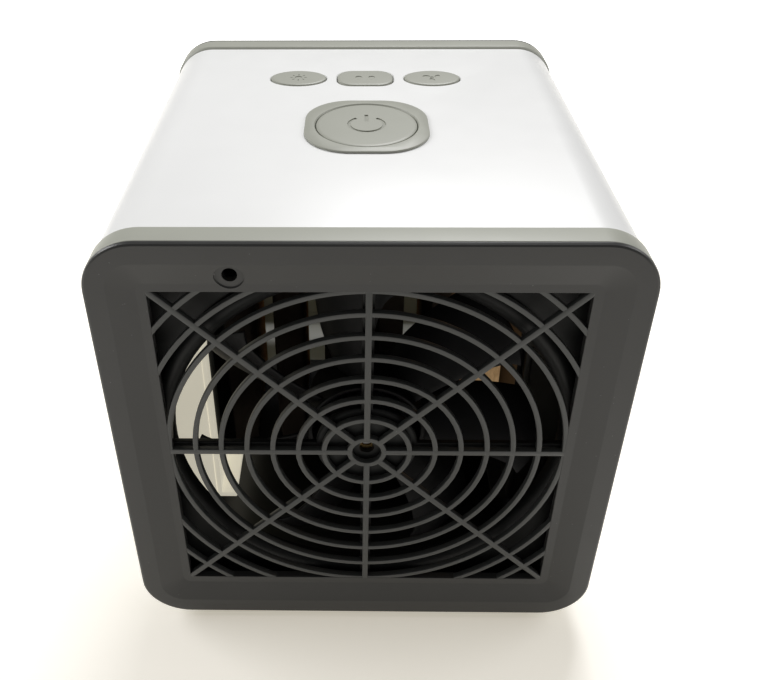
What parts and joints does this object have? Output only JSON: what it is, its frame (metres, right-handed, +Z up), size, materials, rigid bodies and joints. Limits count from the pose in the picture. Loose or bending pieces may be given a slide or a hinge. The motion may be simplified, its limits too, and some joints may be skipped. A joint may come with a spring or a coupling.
{
  "type": "desktop air cooler",
  "caption": "Desktop cube air cooler: white rounded box with grey rims, a charcoal ring-and-spoke rear grille over a fan, top buttons, tilting front louvres and a water tray.",
  "frame": {"origin": "on the floor, under the middle of the box", "axes": "+Z up, +Y to the rear where the grille takes air in, -Y to the front louvres"},
  "size_m": [0.166, 0.172, 0.1691],
  "materials": {
    "white_plastic": "satin",
    "light_grey_plastic": "satin",
    "charcoal_plastic": "satin",
    "black_plastic": "satin",
    "cream_plastic": "matte",
    "kraft_paper": "matte",
    "steel": "brushed",
    "brass": "satin",
    "board_green": "satin",
    "rubber": "matte"
  },
  "bodies": {
    "cooler": {"body_shell": "white_plastic", "rear_rim": "light_grey_plastic", "front_rim": "light_grey_plastic", "rear_grille": "charcoal_plastic", "front_frame": "charcoal_plastic", "dc_jack": "black_plastic", "jack_pin": "brass", "fan_shroud": "charcoal_plastic", "motor_bracket": "charcoal_plastic", "bracket_screw_1": "steel", "bracket_screw_2": "steel", "bracket_screw_3": "steel", "bracket_screw_4": "steel", "motor_can": "steel", "rear_bush": "brass", "front_bush": "brass", "filter_cassette": "charcoal_plastic", "filter_pad_1": "kraft_paper", "filter_pad_2": "kraft_paper", "filter_pad_3": "kraft_paper", "filter_pad_4": "kraft_paper", "filter_pad_5": "kraft_paper", "filter_pad_6": "kraft_paper", "guide_left": "cream_plastic", "guide_right": "cream_plastic", "power_bezel": "light_grey_plastic", "control_board": "board_green", "power_switch": "black_plastic", "light_switch": "black_plastic", "fan_switch": "black_plastic", "speed_switch": "black_plastic", "foot_1": "rubber", "foot_2": "rubber", "foot_3": "rubber", "foot_4": "rubber"},
    "fan": {"impeller": "black_plastic", "motor_shaft": "steel"},
    "tray": {"water_tray": "light_grey_plastic"},
    "power_key": {"power_button": "light_grey_plastic"},
    "light_key": {"light_button": "light_grey_plastic"},
    "fan_key": {"fan_button": "light_grey_plastic"},
    "speed_key": {"speed_button": "light_grey_plastic"},
    "link": {"louvre_link": "charcoal_plastic"},
    "vane_1": {"louvre_1": "charcoal_plastic"},
    "vane_2": {"louvre_2": "charcoal_plastic"},
    "vane_3": {"louvre_3": "charcoal_plastic"},
    "vane_4": {"louvre_4": "charcoal_plastic"},
    "vane_5": {"louvre_5": "charcoal_plastic"},
    "vane_6": {"louvre_6": "charcoal_plastic"}
  },
  "joints": [
    {"name": "fan_spin", "type": "hinge", "parent": "cooler", "child": "fan", "pos_m": [0, 0.06, 0.086], "axis": [0, 1, 0], "continuous": true},
    {"name": "vane_1_tilt", "type": "hinge", "parent": "cooler", "child": "vane_1", "pos_m": [0, -0.0742, 0.0555], "axis": [1, 0, 0], "range_deg": [-35, 35]},
    {"name": "vane_2_tilt", "type": "hinge", "parent": "cooler", "child": "vane_2", "pos_m": [0, -0.0742, 0.0725], "axis": [1, 0, 0], "range_deg": [-35, 35]},
    {"name": "vane_3_tilt", "type": "hinge", "parent": "cooler", "child": "vane_3", "pos_m": [0, -0.0742, 0.0895], "axis": [1, 0, 0], "range_deg": [-35, 35]},
    {"name": "vane_4_tilt", "type": "hinge", "parent": "cooler", "child": "vane_4", "pos_m": [0, -0.0742, 0.1065], "axis": [1, 0, 0], "range_deg": [-35, 35]},
    {"name": "vane_5_tilt", "type": "hinge", "parent": "cooler", "child": "vane_5", "pos_m": [0, -0.0742, 0.1235], "axis": [1, 0, 0], "range_deg": [-35, 35]},
    {"name": "vane_6_tilt", "type": "hinge", "parent": "cooler", "child": "vane_6", "pos_m": [0, -0.0742, 0.1405], "axis": [1, 0, 0], "range_deg": [-35, 35]},
    {"name": "link_turn", "type": "hinge", "parent": "vane_1", "child": "link", "pos_m": [0.06, -0.0632, 0.0555], "axis": [1, 0, 0], "range_deg": [-35, 35]},
    {"name": "tray_slide", "type": "slide", "parent": "cooler", "child": "tray", "axis": [0, -1, 0], "range_m": [0, 0.085]},
    {"name": "power_press", "type": "slide", "parent": "cooler", "child": "power_key", "axis": [0, 0, -1], "range_m": [0, 0.0012], "stiffness_N_per_m": 900},
    {"name": "light_press", "type": "slide", "parent": "cooler", "child": "light_key", "axis": [0, 0, -1], "range_m": [0, 0.0012], "stiffness_N_per_m": 900},
    {"name": "fan_press", "type": "slide", "parent": "cooler", "child": "fan_key", "axis": [0, 0, -1], "range_m": [0, 0.0012], "stiffness_N_per_m": 900},
    {"name": "speed_press", "type": "slide", "parent": "cooler", "child": "speed_key", "axis": [0, 0, -1], "range_m": [0, 0.0012], "stiffness_N_per_m": 900}
  ],
  "couplings": [
    {"joint": "vane_2_tilt", "follows": "vane_1_tilt", "ratio": 1},
    {"joint": "vane_3_tilt", "follows": "vane_1_tilt", "ratio": 1},
    {"joint": "vane_4_tilt", "follows": "vane_1_tilt", "ratio": 1},
    {"joint": "vane_5_tilt", "follows": "vane_1_tilt", "ratio": 1},
    {"joint": "vane_6_tilt", "follows": "vane_1_tilt", "ratio": 1},
    {"joint": "link_turn", "follows": "vane_1_tilt", "ratio": -1}
  ]
}
